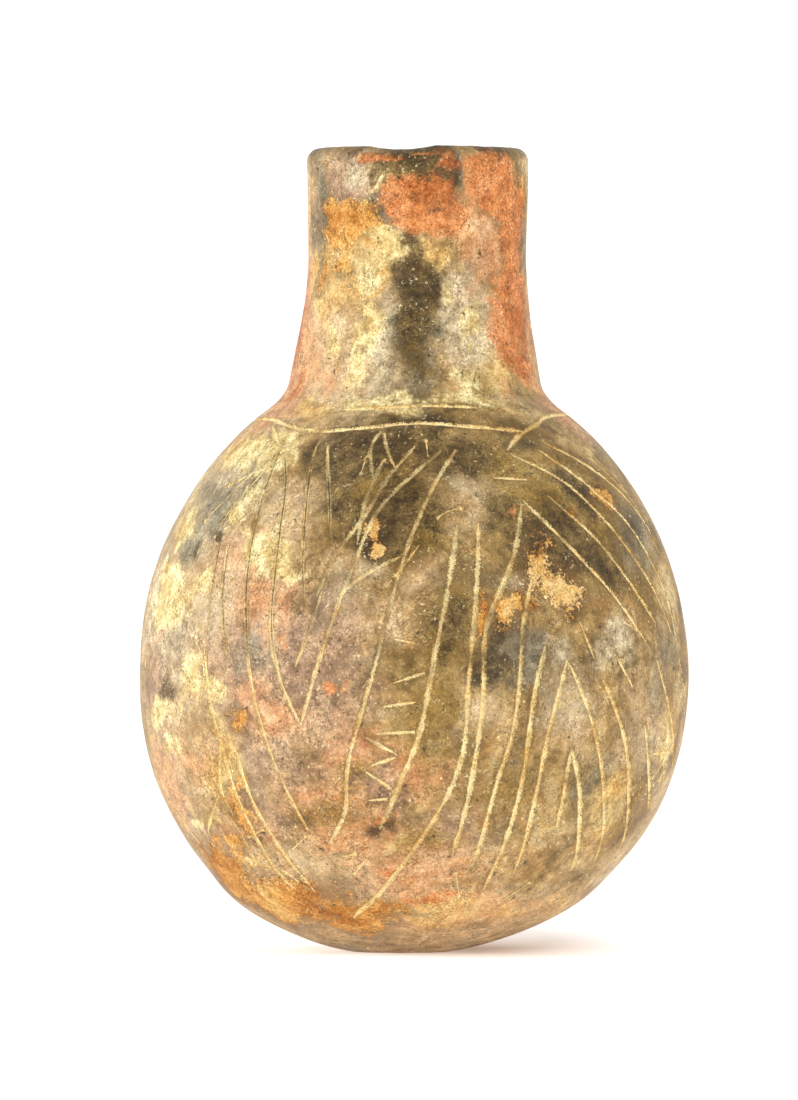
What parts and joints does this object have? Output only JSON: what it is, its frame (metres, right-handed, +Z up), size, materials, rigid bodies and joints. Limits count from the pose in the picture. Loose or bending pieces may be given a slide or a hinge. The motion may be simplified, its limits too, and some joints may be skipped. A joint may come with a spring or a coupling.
{
  "type": "engraved pottery bottle",
  "caption": "Hand-built fired-clay bottle: round belly on a small flat foot, tall open neck with a rounded lip, and long engraved lines over the shoulder and belly.",
  "frame": {"origin": "centre of the flat foot, on the surface that the bottle stands on", "axes": "+Z up along the neck, -Y towards the engraved front that the picture shows, +X to its right"},
  "size_m": [0.143, 0.143, 0.2095],
  "materials": {
    "fired_clay": "burnished low-fired earthenware with fire clouds, and pale deposit in the engraved lines"
  },
  "bodies": {
    "root": {"bottle": "fired_clay"}
  },
  "joints": []
}
